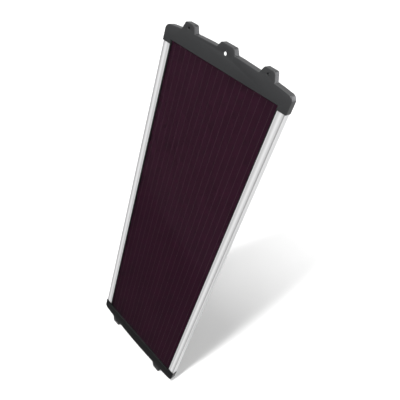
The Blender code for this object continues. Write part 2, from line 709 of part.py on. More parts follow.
def main():
    clear_scene()
    glass = make_material("clear_glass", (0.9, 0.93, 0.92), 0.03, transmission=0.9)
    silicon = make_material("amorphous_silicon", (0.028, 0.010, 0.018), 0.2)
    film = make_material("encapsulant", (0.75, 0.75, 0.70), 0.4)
    backing = make_material("back_sheet", (0.70, 0.70, 0.68), 0.5)
    copper = make_material("tinned_copper", (0.75, 0.74, 0.72), 0.3, metallic=1.0)
    aluminium = make_material("anodised_aluminium", (0.80, 0.81, 0.82), 0.35, metallic=1.0)
    black_plastic = make_material("black_plastic", (0.045, 0.047, 0.048), 0.5)
    grey_plastic = make_material("grey_plastic", (0.35, 0.36, 0.36), 0.5)
    rubber = make_material("black_rubber", (0.012, 0.012, 0.012), 0.7)
    foam = make_material("foam_tape", (0.10, 0.10, 0.10), 0.9)
    steel = make_material("zinc_plated_steel", (0.62, 0.62, 0.60), 0.3, metallic=1.0)
    brass = make_material("brass", (0.72, 0.52, 0.22), 0.3, metallic=1.0)

    panel = make_empty("solar_panel", (0, -BOX_BACK / 2, 0))
    build_glass(glass, panel)
    build_film(silicon, panel)
    build_ribbons(copper, film, panel)
    layer = build_layer("encapsulant_sheet", film, panel, ENCAPSULANT_FRONT, ENCAPSULANT_THICK, 0.6)
    lead_height = BOX_Z + RIBBON_EXIT[1]
    ribbon_windows(layer, ENCAPSULANT_FRONT - LAYER_GAP / 2, ENCAPSULANT_FRONT + PAST, lead_height)
    layer = build_layer("back_sheet", backing, panel, SHEET_FRONT, SHEET_THICK, 0.4)
    ribbon_windows(layer, SHEET_FRONT - LAYER_GAP / 2, SHEET_FRONT + PAST, lead_height)

    build_cap("end_cap_top", black_plastic, panel, TOP_EDGE, 1, has_middle_tab=True)
    build_cap("end_cap_bottom", black_plastic, panel, BOTTOM_EDGE, -1, has_middle_tab=False)
    build_end_gasket("glazing_gasket_top", rubber, panel, TOP_EDGE, 1)
    build_end_gasket("glazing_gasket_bottom", rubber, panel, BOTTOM_EDGE, -1)
    screw_mesh = countersunk_screw(head_radius=2.6, shank_radius=1.2, length=9.5)
    screw_names = ("bottom_outer", "bottom_inner", "top_inner", "top_outer")
    for side, name in ((-1, "left"), (1, "right")):
        build_rail(f"side_rail_{name}", aluminium, panel, side)
        build_side_gasket(f"glazing_gasket_{name}", rubber, panel, side)
        for place, spot in zip(cap_screw_places(side), screw_names):
            at = (place[0], CAP_DEPTH - 0.1, place[2])
            place_screw(f"cap_screw_{name}_{spot}", screw_mesh, steel, panel, at, 1.5)

    box = make_empty("junction_box", (0, 0, BOX_Z), panel)
    build_junction_box(grey_plastic, foam, rubber, steel, box)
    build_terminals(grey_plastic, brass, steel, black_plastic, box)


main()
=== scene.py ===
"""Studio view of a framed thin-film solar panel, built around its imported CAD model.

The panel stands on its lower end with the glass towards -Y. Its lengths here are in millimetres, and its
depths count from the front of the end caps. MM turns both into the frame's metres. The studio's floor, cards
and lights are in metres.
"""

import json
import math

import bmesh
import bpy
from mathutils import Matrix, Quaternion, Vector


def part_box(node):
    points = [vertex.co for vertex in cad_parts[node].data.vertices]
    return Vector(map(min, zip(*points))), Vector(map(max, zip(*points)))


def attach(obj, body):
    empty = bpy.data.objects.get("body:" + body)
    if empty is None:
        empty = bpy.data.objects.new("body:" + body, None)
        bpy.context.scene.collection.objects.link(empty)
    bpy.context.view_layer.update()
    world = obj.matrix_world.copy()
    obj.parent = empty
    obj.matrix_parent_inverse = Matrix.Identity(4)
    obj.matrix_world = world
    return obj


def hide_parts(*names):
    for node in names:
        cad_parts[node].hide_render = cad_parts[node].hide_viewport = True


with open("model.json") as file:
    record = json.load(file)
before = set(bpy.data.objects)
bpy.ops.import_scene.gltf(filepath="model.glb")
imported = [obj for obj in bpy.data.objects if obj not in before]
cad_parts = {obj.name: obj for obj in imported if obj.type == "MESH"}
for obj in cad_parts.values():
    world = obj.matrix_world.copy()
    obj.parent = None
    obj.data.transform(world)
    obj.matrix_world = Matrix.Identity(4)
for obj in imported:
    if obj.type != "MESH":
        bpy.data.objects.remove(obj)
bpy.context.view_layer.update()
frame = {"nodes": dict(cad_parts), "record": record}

MM = 0.001
CLEAR = 0.3  # clearance between pieces that touch
PAST = 1.0  # how far a cutter runs past the face that it opens
ARC_STEP = math.radians(7.5)  # between the points of a rounded corner
SECTION_STEP = math.radians(18)  # the same, for the small corners of a rail's or a gasket's section
FILLET_PIECES = 4
SHARP = math.radians(32)  # edges that turn by more than this are shaded as edges


def box_mm(node):
    """A CAD node's lowest and highest corners in millimetres, with depths in place of Y."""
    corners = [Vector(corner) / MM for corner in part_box(node)]
    for corner in corners:
        corner.y -= FRONT_Y / MM
    return corners


# ---------------------------------------------------------------- sizes

# The frame gives these wherever it can. The others are the part's own dimensions.
FRONT_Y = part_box("end_cap_top")[0].y

CAP_LOW, CAP_HIGH = box_mm("end_cap_top")
RAIL_LOW, RAIL_HIGH = box_mm("side_rail_right")
GLASS_LOW, GLASS_HIGH = box_mm("front_glass")
FILM_LOW, FILM_HIGH = box_mm("thin_film_cells")
GASKET_LOW, GASKET_HIGH = box_mm("glazing_gasket_right")
LID_LOW, LID_HIGH = box_mm("junction_box_lid")
BASE_LOW, BASE_HIGH = box_mm("junction_box_base")

CAP_DEPTH = CAP_HIGH.y
CAP_HALF_WIDTH = CAP_HIGH.x
TAB_HEIGHT = 50.5
TOP_EDGE = CAP_HIGH.z - TAB_HEIGHT
BOTTOM_EDGE = TAB_HEIGHT

# Heights on a cap are measured outwards from the edge of the glass that shows.
CAP_RISE = 38.3
CAP_SHOULDER = 27.8
CAP_SHOULDER_AT = 162.0
CAP_CORNER_RADIUS = 13.0
CAP_FILLET = 1.1
CAP_REAR_FILLET = 0.3
CAP_WALL = 2.2
LEG_LENGTH = 8.6
LEG_ROOT_RADIUS, LEG_INNER_RADIUS, LEG_OUTER_RADIUS = 0.3, 1.5, 2.0
ARC_SPACING = 4.0
TAB_DEPTH = 14.0
TAB_CORNER_RADIUS = 5.5
TAB_ROOT_RADIUS = 3.0
OUTER_TAB_AT = 104.0
OUTER_TAB_BASE, OUTER_TAB_TOP = 38.5, 24.0
MIDDLE_TAB_BASE, MIDDLE_TAB_TOP = 48.0, 33.0
SCREW_HOLE_HEIGHT = 40.5
SCREW_HOLE_RADIUS = 2.5
BOSS_RADIUS = 6.5
BOSS_CHAMFER = 0.4
HANGING_HOLE_HEIGHT = 33.0
HANGING_HOLE_RADIUS = 3.7
HANGING_HOLE_RIM = 0.6
RIB_PLACES = (36.0, 67.0, OUTER_TAB_AT, 134.0)
RIB_THICK = 1.6
RIB_DEPTH = 14.5

RAIL_FRONT = RAIL_LOW.y
RAIL_INNER = RAIL_LOW.x
RAIL_OUTER = RAIL_HIGH.x
RAIL_WALL = 1.4
RAIL_LIP = 1.2
GASKET_LIP = 0.6
GASKET_WEB = 0.8
GASKET_BEAD = 0.7
GASKET_FRONT = GASKET_LOW.y + GASKET_BEAD
GASKET_BACK = GASKET_HIGH.y
RAIL_BOX_INNER = GASKET_HIGH.x + CLEAR
RAIL_REAR_LIP = GASKET_BACK + 0.25
RAIL_INTO_CAP = RAIL_HIGH.z - TOP_EDGE
GROOVE_CENTRE = RAIL_INNER + 18.4
GROOVE_WIDTH = 2.8
GROOVE_DEPTH = 2.4
CHAMBER_FRONT = RAIL_FRONT + GROOVE_DEPTH + 1.2
BEAD_START = RAIL_INNER + 1.2
BEAD_WIDTH = 2.6
DIP_WIDTH = 1.0
DIP_DEPTH = 0.45
DIP_SLOPE = 0.25
GROOVE_SLOPE = 0.5
FLAT_DROP = 0.12
REAR_LIP_START = RAIL_INNER + 1.0
RAIL_SCREW_RADIUS, RAIL_SCREW_SINK = 1.7, 3.3

CAP_FACE = GASKET_FRONT - 0.25
GLASS_INTO_CAP = GLASS_HIGH.z - TOP_EDGE
CHANNEL_TOP = GLASS_INTO_CAP + GASKET_WEB + 2 * CLEAR
STOP_THICK = 2.2
TONGUE_REACH = TOP_EDGE - CAP_LOW.z
CAP_SCREW_HEIGHTS = (-4.0, 9.0)
CAP_SCREW_AT = 161.0
PILOT_DEPTH, PILOT_RADIUS = 10.5, 1.5

CELL_PITCH = 15.83
SCRIBE_COUNT = 18
SCRIBE_WIDTH = 1.2
SCRIBE_DEPTH = 0.1
SCRIBE_END = 6.0  # the lines stop this far from the film's ends
LINE_GAP = 0.005
LINE_THICK = 0.025
LINE_SIDE_GAP = 0.02


# ---------------------------------------------------------------- mesh tools


def to_world(point):
    """(across, depth, height) in millimetres to metres in the frame."""
    return Vector((point[0] * MM, point[1] * MM + FRONT_Y, point[2] * MM))


def loft(rings):
    """A closed solid through flat rings of the same number of points, filled at its two ends."""
    bm = bmesh.new()
    loops = [[bm.verts.new(to_world(point)) for point in ring] for ring in rings]
    count = len(loops[0])
    for low, high in zip(loops, loops[1:]):
        for i in range(count):
            j = (i + 1) % count
            bm.faces.new((low[i], low[j], high[j], high[i]))
    bm.faces.new(loops[0])
    bm.faces.new(loops[-1])
    bmesh.ops.recalc_face_normals(bm, faces=bm.faces)
    mesh = bpy.data.meshes.new("solid")
    bm.to_mesh(mesh)
    bm.free()
    return mesh


def fillet_steps(radius):
    """(distance in from the side, distance down from the face) along a quarter round."""
    angles = [math.pi / 2 * n / FILLET_PIECES for n in range(FILLET_PIECES + 1)]
    return [(radius * (1 - math.sin(a)), radius * (1 - math.cos(a))) for a in angles]


def plate(outline, front, back, front_fillet=0.0, back_fillet=0.0):
    """A plate whose outline is in X and Z, between two depths, with rounded front and back edges."""
    rings = []
    for inward, down in fillet_steps(front_fillet) if front_fillet else [(0, 0)]:
        rings.append([(x, front + down, z) for x, z in inset(outline, inward)])
    for inward, down in reversed(fillet_steps(back_fillet)) if back_fillet else [(0, 0)]:
        rings.append([(x, back - down, z) for x, z in inset(outline, inward)])
    return loft(rings)


def extrusion(section, low, high):
    """A bar whose section is in X and depth, between two heights."""
    return loft([[(x, y, z) for x, y in section] for z in (low, high)])


def block(x, y, z):
    """A box between the two ends given for each direction."""
    corners = [(x[0], z[0]), (x[1], z[0]), (x[1], z[1]), (x[0], z[1])]
    return plate(corners, *y)


def turned(profile, centre, sides=48):
    """A round solid about an axis along Y at (across, height), from (depth, radius) points."""
    angles = [2 * math.pi * i / sides for i in range(sides)]
    rings = []
    for depth, radius in profile:
        ring = [(centre[0] + radius * math.cos(a), depth, centre[1] + radius * math.sin(a)) for a in angles]
        rings.append(ring)
    return loft(rings)


def countersink(start, face, shank, head):
    """The profile of a 45 degree countersunk hole, from a depth inside to just past its face."""
    mouth = face + CLEAR
    return [(start, shank), (mouth - (head - shank), shank), (mouth, head)]


def inset(outline, distance):
    """The outline moved inwards by a distance. The outline runs anticlockwise."""
    if not distance:
        return list(outline)
    moved = []
    for i, point in enumerate(outline):
        here = Vector(point)
        before = (here - Vector(outline[i - 1])).normalized()
        after = (Vector(outline[(i + 1) % len(outline)]) - here).normalized()
        mitre = Vector((-before.y - after.y, before.x + after.x)) / (1 + before.dot(after))
        moved.append(tuple(here + mitre * distance))
    return moved


def rounded(corners, step=ARC_STEP):
    """An outline from (across, up, radius) corners, each drawn as an arc of its radius."""
    outline = []
    for i, (x, z, radius) in enumerate(corners):
        here = Vector((x, z))
        if not radius:
            outline.append((x, z))
            continue
        back = (Vector(corners[i - 1][:2]) - here).normalized()
        forward = (Vector(corners[(i + 1) % len(corners)][:2]) - here).normalized()
        half = back.angle(forward) / 2
        centre = here + (back + forward).normalized() * radius / math.sin(half)
        first = here + back * radius / math.tan(half) - centre
        last = here + forward * radius / math.tan(half) - centre
        turn = math.atan2(first.x * last.y - first.y * last.x, first.dot(last))
        pieces = max(2, round(abs(turn) / step))
        start = math.atan2(first.y, first.x)
        for n in range(pieces + 1):
            angle = start + turn * n / pieces
            outline.append((centre.x + radius * math.cos(angle), centre.y + radius * math.sin(angle)))
    return outline


def rounded_rectangle(low, high, radius):
    """A rounded outline between two (across, up) corners."""
    (x0, z0), (x1, z1) = low, high
    return rounded([(x0, z0, radius), (x1, z0, radius), (x1, z1, radius), (x0, z1, radius)])


def mirrored(outline):
    return [(-x, y) for x, y in reversed(outline)]


class Solid:
    """A mesh that Booleans shape one after the other, and that becomes a piece at the end."""

    def __init__(self, mesh):
        self.object = bpy.data.objects.new("work", mesh)
        bpy.context.scene.collection.objects.link(self.object)
        self.tools = []

    def _shape(self, operation, mesh):
        tool = bpy.data.objects.new("tool", mesh)
        bpy.context.scene.collection.objects.link(tool)
        modifier = self.object.modifiers.new(operation, "BOOLEAN")
        modifier.operation = operation
        modifier.solver = "MANIFOLD"
        modifier.object = tool
        self.tools.append(tool)

    def cut(self, mesh):
        self._shape("DIFFERENCE", mesh)

    def add(self, mesh):
        self._shape("UNION", mesh)

    def finished(self):
        """The shaped mesh, with its tools removed."""
        graph = bpy.context.evaluated_depsgraph_get()
        mesh = bpy.data.meshes.new_from_object(self.object.evaluated_get(graph))
        for obj in [self.object, *self.tools]:
            bpy.data.objects.remove(obj, do_unlink=True)
        return mesh


def make_piece(name, mesh, slot, replaces=(), material=None):
    """A piece that rides on the panel and takes the finish of a slot of the record."""
    mesh.materials.clear()
    mesh.materials.append(material or FINISH[slot])
    mesh.shade_smooth()
    mesh.set_sharp_from_angle(angle=SHARP)
    piece = bpy.data.objects.new(name, mesh)
    bpy.context.scene.collection.objects.link(piece)
    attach(piece, "root")
    if replaces:
        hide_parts(*replaces)
    return piece


# ---------------------------------------------------------------- material tools


class Shader:
    """A node material whose patterns follow the object's own coordinates, in metres."""

    def __init__(self, name):
        self.material = bpy.data.materials.new(name)
        self.material.use_nodes = True
        self.tree = self.material.node_tree
        self.principled = self.tree.nodes["Principled BSDF"]
        self.place = self.node("ShaderNodeTexCoord").outputs["Object"]

    def node(self, kind, **settings):
        made = self.tree.nodes.new(kind)
        for key, value in settings.items():
            setattr(made, key, value)
        return made

    def link(self, source, target):
        self.tree.links.new(source, target)

    def set(self, **values):
        """Fixed values on the Principled shader's own sockets."""
        for key, value in values.items():
            self.principled.inputs[key.replace("_", " ").title().replace("Ior", "IOR")].default_value = value

    def noise(self, size, stretch=(1, 1, 1), detail=3.0, roughness=0.55, distortion=0.0):
        """Noise from 0 to 1 whose features are about size millimetres, longer along a stretched axis."""
        mapping = self.node("ShaderNodeMapping")
        mapping.inputs["Scale"].default_value = [1 / (size * MM * along) for along in stretch]
        self.link(self.place, mapping.inputs["Vector"])
        noise = self.node("ShaderNodeTexNoise")
        noise.inputs["Scale"].default_value = 1.0
        noise.inputs["Detail"].default_value = detail
        noise.inputs["Roughness"].default_value = roughness
        noise.inputs["Distortion"].default_value = distortion
        self.link(mapping.outputs["Vector"], noise.inputs["Vector"])
        return noise.outputs["Fac"]

    def cells(self, size):
        """Distance to the nearest point of a scatter that is about size millimetres apart."""
        mapping = self.node("ShaderNodeMapping")
        mapping.inputs["Scale"].default_value = [1 / (size * MM)] * 3
        self.link(self.place, mapping.inputs["Vector"])
        voronoi = self.node("ShaderNodeTexVoronoi")
        voronoi.inputs["Scale"].default_value = 1.0
        self.link(mapping.outputs["Vector"], voronoi.inputs["Vector"])
        return voronoi.outputs["Distance"]

    def waves(self, pitch, axis):
        """Parallel bands, one each pitch millimetres along an axis."""
        wave = self.node("ShaderNodeTexWave", wave_type="BANDS", bands_direction=axis)
        wave.inputs["Scale"].default_value = 2 * math.pi / (20 * pitch * MM)
        self.link(self.place, wave.inputs["Vector"])
        return wave.outputs["Fac"]

    def across(self, stops):
        """A tone that changes with the distance from the panel's middle, from (millimetres, tone) stops."""
        parts = self.node("ShaderNodeSeparateXYZ")
        self.link(self.place, parts.inputs["Vector"])
        first, last = stops[0][0], stops[-1][0]
        beyond_first = self.math("SUBTRACT", self.math("ABSOLUTE", parts.outputs["X"]), first * MM)
        ramp = self.node("ShaderNodeValToRGB")
        ramp.color_ramp.interpolation = "EASE"
        elements = ramp.color_ramp.elements
        for place, _ in stops[1:-1]:
            elements.new((place - first) / (last - first))
        for element, (_, tone) in zip(elements, stops):
            element.color = (tone, tone, tone, 1.0)
        self.link(self.math("DIVIDE", beyond_first, (last - first) * MM), ramp.inputs["Fac"])
        return ramp.outputs["Color"]

    def spread(self, value, low, high, start=0.3, end=0.7):
        """The value, stretched so that start to end becomes low to high."""
        spread = self.node("ShaderNodeMapRange")
        spread.inputs["From Min"].default_value = start
        spread.inputs["From Max"].default_value = end
        spread.inputs["To Min"].default_value = low
        spread.inputs["To Max"].default_value = high
        self.link(value, spread.inputs["Value"])
        return spread.outputs["Result"]

    def math(self, operation, *values):
        made = self.node("ShaderNodeMath", operation=operation)
        for socket, value in zip(made.inputs, values):
            if isinstance(value, (int, float)):
                socket.default_value = value
            else:
                self.link(value, socket)
        return made.outputs[0]

    def blend(self, factor, first, second):
        """A colour between two, where each is an (r, g, b) or another node's output."""
        mix = self.node("ShaderNodeMix", data_type="RGBA")
        self.link(factor, mix.inputs["Factor"])
        for name, colour in (("A", first), ("B", second)):
            socket = [s for s in mix.inputs if s.name == name and s.type == "RGBA"][0]
            if isinstance(colour, tuple):
                socket.default_value = (*colour, 1.0)
            else:
                self.link(colour, socket)
        return [s for s in mix.outputs if s.type == "RGBA"][0]

    def colour(self, source):
        self.link(source, self.principled.inputs["Base Color"])

    def roughness(self, source):
        self.link(source, self.principled.inputs["Roughness"])

    def relief(self, *layers):
        """Bump from (height, depth in millimetres) layers, one over the other."""
        normal = None
        for height, depth in layers:
            bump = self.node("ShaderNodeBump")
            bump.inputs["Strength"].default_value = 1.0
            bump.inputs["Distance"].default_value = depth * MM
            self.link(height, bump.inputs["Height"])
            if normal:
                self.link(normal, bump.inputs["Normal"])
            normal = bump.outputs["Normal"]
        self.link(normal, self.principled.inputs["Normal"])


def scaled(colour, factor):
    return tuple(min(1.0, channel * factor) for channel in colour)


def moulded_plastic(name, colour, spark, gloss):
    """Injection-moulded plastic: a fine spark-eroded grain, faint flow marks and a few pale scuffs."""
    shader = Shader(name)
    flow = shader.noise(60, stretch=(2, 1, 1), detail=2)
    grain = shader.noise(spark, detail=4, roughness=0.7)
    scuff = shader.noise(9, stretch=(1, 1, 6), detail=6, roughness=0.75, distortion=1.5)
    tint = shader.blend(shader.spread(flow, 0, 1), scaled(colour, 0.9), scaled(colour, 1.1))
    speckled = shader.blend(shader.spread(grain, 0, 0.35), tint, scaled(colour, 1.35))
    marked = shader.blend(shader.spread(scuff, 0, 0.16, 0.66, 0.8), speckled, (0.3, 0.3, 0.3))
    shader.colour(marked)
    shader.roughness(shader.spread(grain, gloss - 0.05, gloss + 0.08))
    shader.relief((flow, 0.05), (grain, 0.035))
    return shader.material


# (distance from the panel's middle, tone): painted highlight and shade, soft lighter and darker bands along
# the profile, darkest in the groove.
RAIL_PAINTED_SHADING = (
    (RAIL_INNER, 0.90), (RAIL_INNER + 5, 0.68), (RAIL_INNER + 11, 0.98), (RAIL_INNER + 15.5, 0.76),
    (GROOVE_CENTRE - 1.5, 0.72), (GROOVE_CENTRE - 0.7, 0.60), (GROOVE_CENTRE + 0.7, 0.60),
    (GROOVE_CENTRE + 1.5, 1.0), (RAIL_OUTER, 1.0),
)


def anodised_aluminium(name, colour):
    """Satin anodised extrusion: die lines along it, soft cloudiness and small handling marks, under bands of
    painted highlight and shade.
    """
    shader = Shader(name)
    painted_shading = shader.across(RAIL_PAINTED_SHADING)
    lines = shader.noise(0.45, stretch=(1, 1, 900), detail=5, roughness=0.7)
    cloud = shader.noise(70, stretch=(1, 1, 4), detail=3)
    marks = shader.noise(2.2, stretch=(1, 1, 14), detail=5, roughness=0.8, distortion=0.8)
    tone = shader.blend(shader.spread(lines, 0, 1), scaled(colour, 0.955), scaled(colour, 1.03))
    clouded = shader.blend(shader.spread(cloud, 0, 0.5), tone, scaled(colour, 0.97))
    marked = shader.blend(shader.spread(marks, 0, 0.2, 0.64, 0.78), clouded, scaled(colour, 0.75))
    # The painted highlight and shade darken the metal's colour band by band across the profile.
    shader.colour(shader.blend(painted_shading, (0.0, 0.0, 0.0), marked))
    shader.roughness(shader.spread(lines, 0.34, 0.46))
    shader.relief((lines, 0.012), (cloud, 0.03))
    shader.set(metallic=0.1)
    return shader.material


def float_glass(name):
    """Clear low-iron glass with a little surface haze, as from wiping."""
    shader = Shader(name)
    haze = shader.noise(45, stretch=(1, 1, 3), detail=5, roughness=0.6, distortion=1.0)
    shader.colour(shader.blend(shader.spread(haze, 0, 1), (0.97, 0.985, 0.98), (0.94, 0.965, 0.955)))
    shader.roughness(shader.spread(haze, 0.004, 0.014))
    shader.set(transmission_weight=1.0, ior=1.5)
    return shader.material


def silicon_film(name):
    """Amorphous silicon: dark plum, with lengthwise deposition bands and a slow drift in thickness."""
    shader = Shader(name)
    drift = shader.noise(260, stretch=(1, 1, 1.8), detail=2)
    bands = shader.noise(6, stretch=(1, 1, 160), detail=4, roughness=0.6)
    fine = shader.noise(1.2, stretch=(1, 1, 40), detail=3, roughness=0.7)
    plum = shader.blend(shader.spread(drift, 0, 1), (0.134, 0.030, 0.075), (0.122, 0.029, 0.077))
    banded = shader.blend(shader.spread(bands, 0, 0.6), plum, (0.147, 0.035, 0.084))
    shader.colour(shader.blend(shader.spread(fine, 0, 0.35), banded, (0.100, 0.021, 0.055)))
    shader.roughness(shader.spread(bands, 0.3, 0.42))
    shader.relief((fine, 0.004))
    shader.set(specular_ior_level=0.1)
    return shader.material


def scribed_line(name):
    """The back contact that shows along each laser-scribed line."""
    shader = Shader(name)
    beads = shader.noise(0.9, detail=3)
    wander = shader.noise(34, stretch=(1, 1, 3), detail=3)
    tone = shader.blend(shader.spread(beads, 0, 1), (0.19, 0.082, 0.128), (0.26, 0.125, 0.178))
    shader.colour(shader.blend(shader.spread(wander, 0, 0.6), tone, (0.165, 0.066, 0.108)))
    shader.roughness(shader.spread(beads, 0.35, 0.5))
    shader.relief((beads, 0.01))
    return shader.material


def woven_sheet(name, colour):
    """Laminated backing film: an off-white face over a fine woven scrim, with slow waviness."""
    shader = Shader(name)
    weft = shader.waves(1.6, "X")
    warp = shader.waves(1.6, "Z")
    weave = shader.math("MULTIPLY", weft, warp)
    cloud = shader.noise(90, detail=3)
    dust = shader.noise(1.5, detail=5, roughness=0.8)
    tone = shader.blend(shader.spread(cloud, 0, 1), scaled(colour, 1.02), scaled(colour, 0.94))
    woven = shader.blend(shader.spread(weave, 0, 0.3, 0, 1), tone, scaled(colour, 0.88))
    shader.colour(shader.blend(shader.spread(dust, 0, 0.3, 0.62, 0.75), woven, scaled(colour, 0.7)))
    shader.roughness(shader.spread(cloud, 0.42, 0.55))
    shader.relief((cloud, 0.25), (weave, 0.03), (dust, 0.01))
    return shader.material


def milky_polymer(name, colour):
    """Cured encapsulant: slightly yellow, cloudy, with small trapped bubbles."""
    shader = Shader(name)
    cloud = shader.noise(30, detail=4)
    bubbles = shader.cells(3.0)
    tone = shader.blend(shader.spread(cloud, 0, 1), colour, scaled(colour, 0.92))
    shader.colour(shader.blend(shader.spread(bubbles, 0.3, 0, 0.05, 0.2), tone, scaled(colour, 1.1)))
    shader.roughness(shader.spread(cloud, 0.3, 0.45))
    shader.relief((bubbles, 0.02))
    return shader.material


def soft_rubber(name, colour, size, depth):
    """Extruded rubber or foam: fine pores, a chalky bloom and dull patches."""
    shader = Shader(name)
    pores = shader.cells(size)
    bloom = shader.noise(14, stretch=(1, 1, 3), detail=5, roughness=0.65)
    tone = shader.blend(shader.spread(bloom, 0, 1, 0.35, 0.75), colour, scaled(colour, 1.8))
    shader.colour(shader.blend(shader.spread(pores, 0.4, 0, 0.1, 0.5), tone, scaled(colour, 0.6)))
    shader.roughness(shader.spread(bloom, 0.6, 0.8))
    shader.relief((pores, depth))
    return shader.material


def plated_metal(name, colour, size, stretch, rough):
    """Plated or brushed metal: fine lines, with darker and duller spots."""
    shader = Shader(name)
    lines = shader.noise(size, stretch=stretch, detail=5, roughness=0.7)
    spots = shader.noise(2.5, detail=4, roughness=0.7)
    tone = shader.blend(shader.spread(lines, 0, 1), scaled(colour, 0.88), scaled(colour, 1.08))
    shader.colour(shader.blend(shader.spread(spots, 0, 0.4, 0.55, 0.8), tone, scaled(colour, 0.62)))
    shader.roughness(shader.spread(spots, rough, rough + 0.18))
    shader.relief((lines, 0.01), (spots, 0.01))
    shader.set(metallic=1.0)
    return shader.material


def slot_colour(name):
    """The base colour that the record gives a slot."""
    slots = {material["slot"]: material["base_color"] for material in frame["record"]["materials"]}
    return tuple(slots[name][:3])


FINISH = {
    "cap_plastic": moulded_plastic("cap_plastic_grain", (0.0185, 0.019, 0.0198), spark=0.9, gloss=0.40),
    "rail_aluminium": anodised_aluminium("rail_anodised", (0.88, 0.88, 0.885)),
    "front_glass": float_glass("front_glass_clear"),
    "cell_film": silicon_film("cell_film_plum"),
    "ribbon": plated_metal("ribbon_tinned", slot_colour("ribbon"), 0.5, (1, 1, 30), 0.25),
    "encapsulant": milky_polymer("encapsulant_milky", slot_colour("encapsulant")),
    "back_sheet": woven_sheet("back_sheet_woven", slot_colour("back_sheet")),
    "gasket_rubber": soft_rubber("gasket_rubber_matt", slot_colour("gasket_rubber"), 0.5, 0.03),
    "screw_steel": plated_metal("screw_zinc", slot_colour("screw_steel"), 0.3, (1, 1, 1), 0.28),
    "foam_tape": soft_rubber("foam_tape_cells", slot_colour("foam_tape"), 0.9, 0.2),
    "box_plastic": moulded_plastic("box_plastic_grain", slot_colour("box_plastic"), spark=0.7, gloss=0.46),
    "terminal_plastic": moulded_plastic(
        "terminal_nylon", slot_colour("terminal_plastic"), spark=0.5, gloss=0.35
    ),
    "terminal_brass": plated_metal(
        "terminal_brass_turned", slot_colour("terminal_brass"), 0.2, (1, 1, 20), 0.22
    ),
    "diode_case": moulded_plastic("diode_epoxy", slot_colour("diode_case"), spark=0.4, gloss=0.28),
}


# ---------------------------------------------------------------- end caps


def cap_arc(x):
    """Height of the cap's gently curved outer edge."""
    radius = (CAP_SHOULDER_AT**2 + (CAP_RISE - CAP_SHOULDER) ** 2) / (2 * (CAP_RISE - CAP_SHOULDER))
    return CAP_RISE - radius + math.sqrt(radius**2 - x**2)


def arc_stretch(first, last):
    """Points of the curved edge strictly between two places."""
    pieces = max(1, round(abs(last - first) / ARC_SPACING))
    places = [first + (last - first) * n / pieces for n in range(1, pieces)]
    return [(x, cap_arc(x), 0) for x in places]


def tab(middle, base, top):
    """A tab's four corners, right to left."""
    right, left = middle + base / 2, middle - base / 2
    return [
        (right, cap_arc(right), TAB_ROOT_RADIUS),
        (middle + top / 2, TAB_HEIGHT, TAB_CORNER_RADIUS),
        (middle - top / 2, TAB_HEIGHT, TAB_CORNER_RADIUS),
        (left, cap_arc(left), TAB_ROOT_RADIUS),
    ]


def cap_outline(has_middle_tab):
    """The cap's front outline, anticlockwise from its right leg."""
    tabs = [(OUTER_TAB_AT, OUTER_TAB_BASE, OUTER_TAB_TOP)]
    if has_middle_tab:
        tabs.append((0.0, MIDDLE_TAB_BASE, MIDDLE_TAB_TOP))
    tabs.append((-OUTER_TAB_AT, OUTER_TAB_BASE, OUTER_TAB_TOP))
    shoulder = cap_arc(CAP_HALF_WIDTH)
    corners = [
        (RAIL_INNER, 0, LEG_ROOT_RADIUS),
        (RAIL_INNER, -LEG_LENGTH, LEG_INNER_RADIUS),
        (CAP_HALF_WIDTH, -LEG_LENGTH, LEG_OUTER_RADIUS),
        (CAP_HALF_WIDTH, shoulder, CAP_CORNER_RADIUS),
    ]
    last = CAP_HALF_WIDTH - 2 * CAP_CORNER_RADIUS
    for middle, base, top in tabs:
        corners += arc_stretch(last, middle + base / 2 + TAB_ROOT_RADIUS)
        corners += tab(middle, base, top)
        last = middle - base / 2 - TAB_ROOT_RADIUS
    corners += arc_stretch(last, 2 * CAP_CORNER_RADIUS - CAP_HALF_WIDTH)
    corners += [
        (-CAP_HALF_WIDTH, shoulder, CAP_CORNER_RADIUS),
        (-CAP_HALF_WIDTH, -LEG_LENGTH, LEG_OUTER_RADIUS),
        (-RAIL_INNER, -LEG_LENGTH, LEG_INNER_RADIUS),
        (-RAIL_INNER, 0, LEG_ROOT_RADIUS),
    ]
    return rounded(corners)


def cap_pocket(outline):
    """The hollow behind the cap's face, clear of the glass channel and of the walls that the rails meet."""
    side = RAIL_INNER - STOP_THICK
    stop = RAIL_INTO_CAP + CLEAR + STOP_THICK
    bottom = CHANNEL_TOP + CAP_WALL
    inner = [point for point in inset(outline, CAP_WALL) if point[1] > stop]
    low = [(-side, stop), (-side, bottom), (side, bottom), (side, stop)]
    return [*inner, (inner[-1][0], stop), *low, (inner[0][0], stop)]


def hole_with_rims(radius, depth, centre, rim=0.5):
    """A cutter for a hole through a wall, with a rounded lead-in at the front and at the back."""
    lead = [(down, radius + inward) for inward, down in fillet_steps(rim)]
    tail = [(depth - down, radius + inward) for inward, down in reversed(fillet_steps(rim))]
    front, back = [(-PAST, radius + rim)], [(depth + PAST, radius + rim)]
    return turned(front + lead + tail + back, centre)


